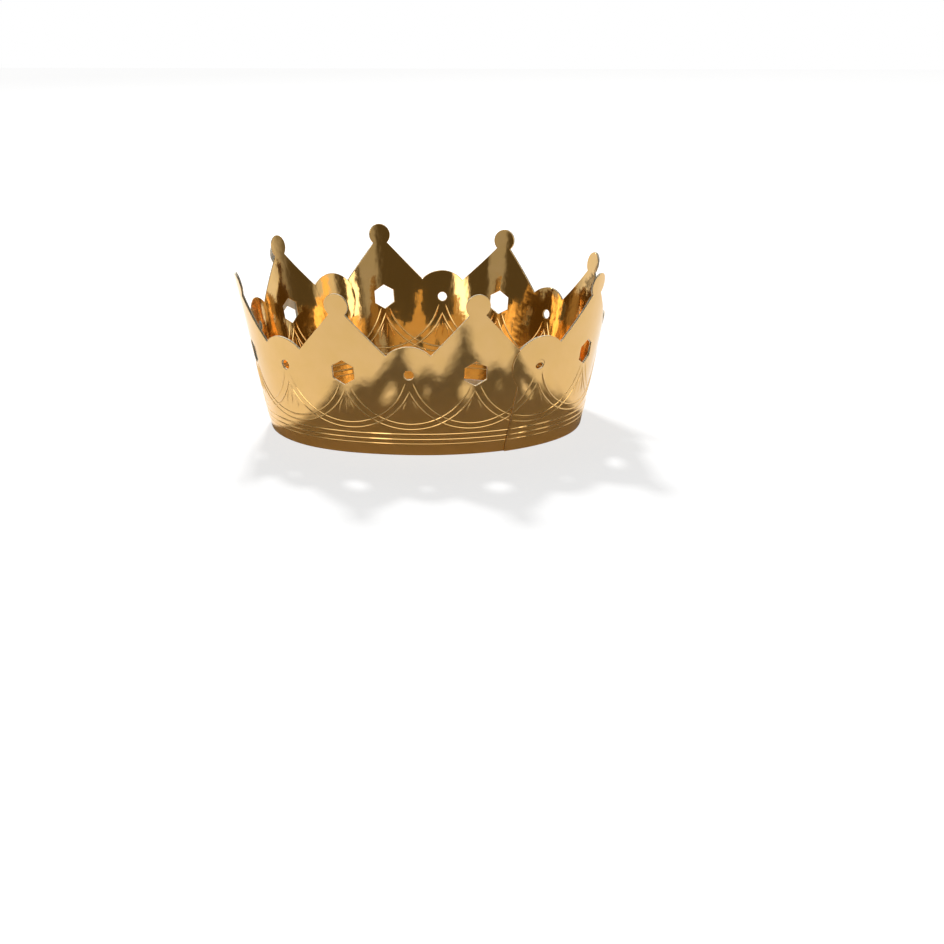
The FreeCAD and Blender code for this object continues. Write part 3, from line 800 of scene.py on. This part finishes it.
def creep_curve(stations):
    """The creep as a curve: angle along X, height along Z, eased from station to station."""
    curve = bpy.data.curves.new("creep", "CURVE")
    curve.dimensions = "3D"
    spline = curve.splines.new("POLY")
    spline.points.add(CREEP_POINTS)
    for index, point in enumerate(spline.points):
        turn = math.degrees(CREEP_FROM + (CREEP_TO - CREEP_FROM) * index / CREEP_POINTS)
        height = stations[0][1] if turn < stations[0][0] else stations[-1][1]
        for (low, first), (high, second) in zip(stations, stations[1:]):
            if low <= turn <= high:
                share = (turn - low) / (high - low)
                height = first + (second - first) * share * share * (3 - 2 * share)
        point.co = (math.radians(turn), 0, height * MM, 1)
    source = bpy.data.objects.new("creep", curve)
    bpy.context.collection.objects.link(source)
    return source


for name, node, middle, side, layer in CARDS:
    piece = rolled_piece(
        name, card_mesh, Middle=middle, Side=side, Creep=creep_curve(CREEPS[node]),
        **{"Layer Offset": (LAYER_PITCH * layer + BOARD / 2) * MM, "Spring": SPRINGS.get(node, 0.0) * MM},
    )
    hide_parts(node)
    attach(piece, "root")

RIGHT_LAP = math.radians(45)
LEFT_LAP = math.radians(-135)
TAPES = [
    ("right_inner_tape", "right_inner_lap_tape", RIGHT_LAP, -1.0, 1, 1.0),
    ("left_inner_tape", "left_inner_lap_tape", LEFT_LAP, -1.0, 1, 7.0),
    ("right_outer_tape", "right_outer_lap_tape", RIGHT_LAP, 1.0, 3, 1.0),
    ("left_outer_tape", "left_outer_lap_tape", LEFT_LAP, 1.0, 3, 4.5),
]
tape_mesh = flat_tape()
for name, node, middle, side, layer, lift in TAPES:
    piece = rolled_piece(
        name, tape_mesh, Middle=middle, Side=side, Creep=creep_curve([(0, lift), (1, lift)]),
        **{"Embossed Lines": None, "Layer Offset": (LAYER_PITCH * layer - TAPE_THICKNESS / 2) * MM},
    )
    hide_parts(node)
    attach(piece, "root")


# The floor and the light.
# A plain white table runs back into a white backdrop, and the room on the camera's side is dim.
# One softbox behind the crown at the left lights the table and lays the crown's shadow forwards.
floor_mesh = bpy.data.meshes.new("floor")
floor_mesh.from_pydata([(-3, -3, 0), (3, -3, 0), (3, 3, 0), (-3, 3, 0)], [], [(0, 1, 2, 3)])
floor = bpy.data.objects.new("floor", floor_mesh)
bpy.context.collection.objects.link(floor)
floor_paint = bpy.data.materials.new("matt_white_table")
floor_paint.use_nodes = True
tree = floor_paint.node_tree
tree.nodes.clear()
seen = add_node(tree, "ShaderNodeLightPath")
spot = add_node(tree, "ShaderNodeTexCoord")
away = add_node(tree, "ShaderNodeVectorMath", {"operation": "LENGTH"}, i0=spot.outputs["Object"])
fade = add_node(tree, "ShaderNodeValToRGB", Fac=away.outputs["Value"])
FLOOR_TONES = [(0.12, (0.74, 0.74, 0.74, 1)), (0.45, (0.92, 0.92, 0.92, 1))]
for element, (reach, tone) in zip(fade.color_ramp.elements, FLOOR_TONES):
    element.position = reach
    element.color = tone
lit = add_node(tree, "ShaderNodeBsdfDiffuse", Color=linear("#F2F1EF"))
dim = add_node(tree, "ShaderNodeBsdfDiffuse", Color=linear("#8C8C8C"))
glow = add_node(tree, "ShaderNodeEmission", Color=fade.outputs["Color"])
white = add_node(tree, "ShaderNodeAddShader", i0=dim.outputs[0], i1=glow.outputs[0])
shown = add_node(tree, "ShaderNodeMixShader", i0=seen.outputs["Is Camera Ray"], i1=lit.outputs[0],
                 i2=white.outputs[0])
add_node(tree, "ShaderNodeOutputMaterial", Surface=shown.outputs[0])
floor_mesh.materials.append(floor_paint)

# Inside the ring the table is only as bright as the light that falls there.
inside_mesh = bpy.data.meshes.new("floor_inside")
ABOVE_TABLE = 0.08
inside_ring = [(x * MM, y * MM, ABOVE_TABLE * MM) for x, y in hoop[:-1:8]]
inside_mesh.from_pydata(inside_ring, [], [tuple(range(len(inside_ring)))])
floor_inside = bpy.data.objects.new("floor_inside", inside_mesh)
bpy.context.collection.objects.link(floor_inside)
plain_paint = bpy.data.materials.new("matt_white_table_in_shade")
plain_paint.use_nodes = True
shader = plain_paint.node_tree.nodes["Principled BSDF"]
shader.inputs["Base Color"].default_value = linear("#F2F1EF")
shader.inputs["Roughness"].default_value = 0.9
inside_mesh.materials.append(plain_paint)

KEY_PLACE = (-0.42, 1.32, 1.48)
KEY_AIM = Vector((0, 0, 0.05)) - Vector(KEY_PLACE)
key_light = bpy.data.lights.new("key_softbox", "AREA")
key_light.shape = "RECTANGLE"
key_light.size, key_light.size_y = 0.2, 0.2
key_light.energy = 52.0
key_softbox = bpy.data.objects.new("key_softbox", key_light)
key_softbox.matrix_world = Matrix.Translation(KEY_PLACE) @ KEY_AIM.to_track_quat("-Z", "Y").to_matrix().to_4x4()
bpy.context.collection.objects.link(key_softbox)

world = bpy.data.worlds.new("studio")
bpy.context.scene.world = world
world.use_nodes = True
tree = world.node_tree
tree.nodes.clear()
seen = add_node(tree, "ShaderNodeLightPath")
room = add_node(tree, "ShaderNodeTexCoord")
ways = add_node(tree, "ShaderNodeSeparateXYZ", Vector=room.outputs["Generated"])


def ease(value, low, high):
    """A smooth step of a value between two limits."""
    made = add_node(tree, "ShaderNodeMapRange", {"interpolation_type": "SMOOTHSTEP"}, Value=value,
                    **{"From Min": low, "From Max": high})
    return made.outputs["Result"]


def blended(share, low, high):
    """A colour between two, each given as numbers or as a socket."""
    return add_node(tree, "ShaderNodeMix", {"data_type": "RGBA"}, i0=share, i6=low, i7=high).outputs[2]


# Soft panels stand round the dim side of the room, for the mirror foil to find.
# Each has its bearing from the camera's side towards the right, half its width, and its brightness.
PANELS = [(-90, 9, 0.45), (-45, 6, 0.42), (-18, 4.5, 3.0), (52, 7, 0.42), (64.5, 2.2, 2.6), (82, 7, 0.85)]
bearing = maths(tree, "ARCTAN2", ways.outputs["X"], maths(tree, "MULTIPLY", ways.outputs["Y"], -1.0))
walls = (0.10, 0.078, 0.042, 1)
for panel_bearing, half_width, brightness in PANELS:
    off_centre = maths(tree, "ABSOLUTE", maths(tree, "SUBTRACT", bearing, math.radians(panel_bearing)))
    inner, outer = math.radians(half_width * 0.7), math.radians(half_width * 1.3)
    share = maths(tree, "SUBTRACT", 1.0, ease(off_centre, inner, outer))
    walls = blended(share, walls, (brightness, brightness * 0.97, brightness * 0.9, 1))
backdrop = blended(ease(ways.outputs["Y"], 0.25, 0.55), walls, (0.95, 0.95, 0.95, 1))
overhead = blended(ease(ways.outputs["Z"], 0.3, 0.9), backdrop, (0.27, 0.26, 0.24, 1))
# A long softbox hangs over the camera and draws the bright line along every raised stroke. It shows only in
# reflections and throws no light, so these lines are painted reflection.
high = maths(tree, "MULTIPLY", ease(ways.outputs["Z"], 0.36, 0.42),
             maths(tree, "SUBTRACT", 1.0, ease(ways.outputs["Z"], 0.60, 0.68)))
ahead = maths(tree, "SUBTRACT", 1.0, ease(maths(tree, "ABSOLUTE", bearing), 0.9, 1.2))
mirrored = maths(tree, "SUBTRACT", 1.0, seen.outputs["Is Diffuse Ray"])
painted_reflection_share = maths(tree, "MULTIPLY", maths(tree, "MULTIPLY", high, ahead), mirrored)
overhead = blended(painted_reflection_share, overhead, (2.0, 1.95, 1.85, 1))
fill = maths(tree, "SUBTRACT", 1.0, maths(tree, "MULTIPLY", seen.outputs["Is Diffuse Ray"], 0.75))
soft = add_node(tree, "ShaderNodeBackground", Color=overhead, Strength=fill)
plain = add_node(tree, "ShaderNodeBackground", Color=(1, 1, 1, 1), Strength=1.0)
shown = add_node(tree, "ShaderNodeMixShader", i0=seen.outputs["Is Camera Ray"], i1=soft.outputs[0],
                 i2=plain.outputs[0])
add_node(tree, "ShaderNodeOutputWorld", Surface=shown.outputs[0])

for spare in [thing for thing in bpy.data.objects if thing.type == "CURVE"]:
    bpy.data.objects.remove(spare)
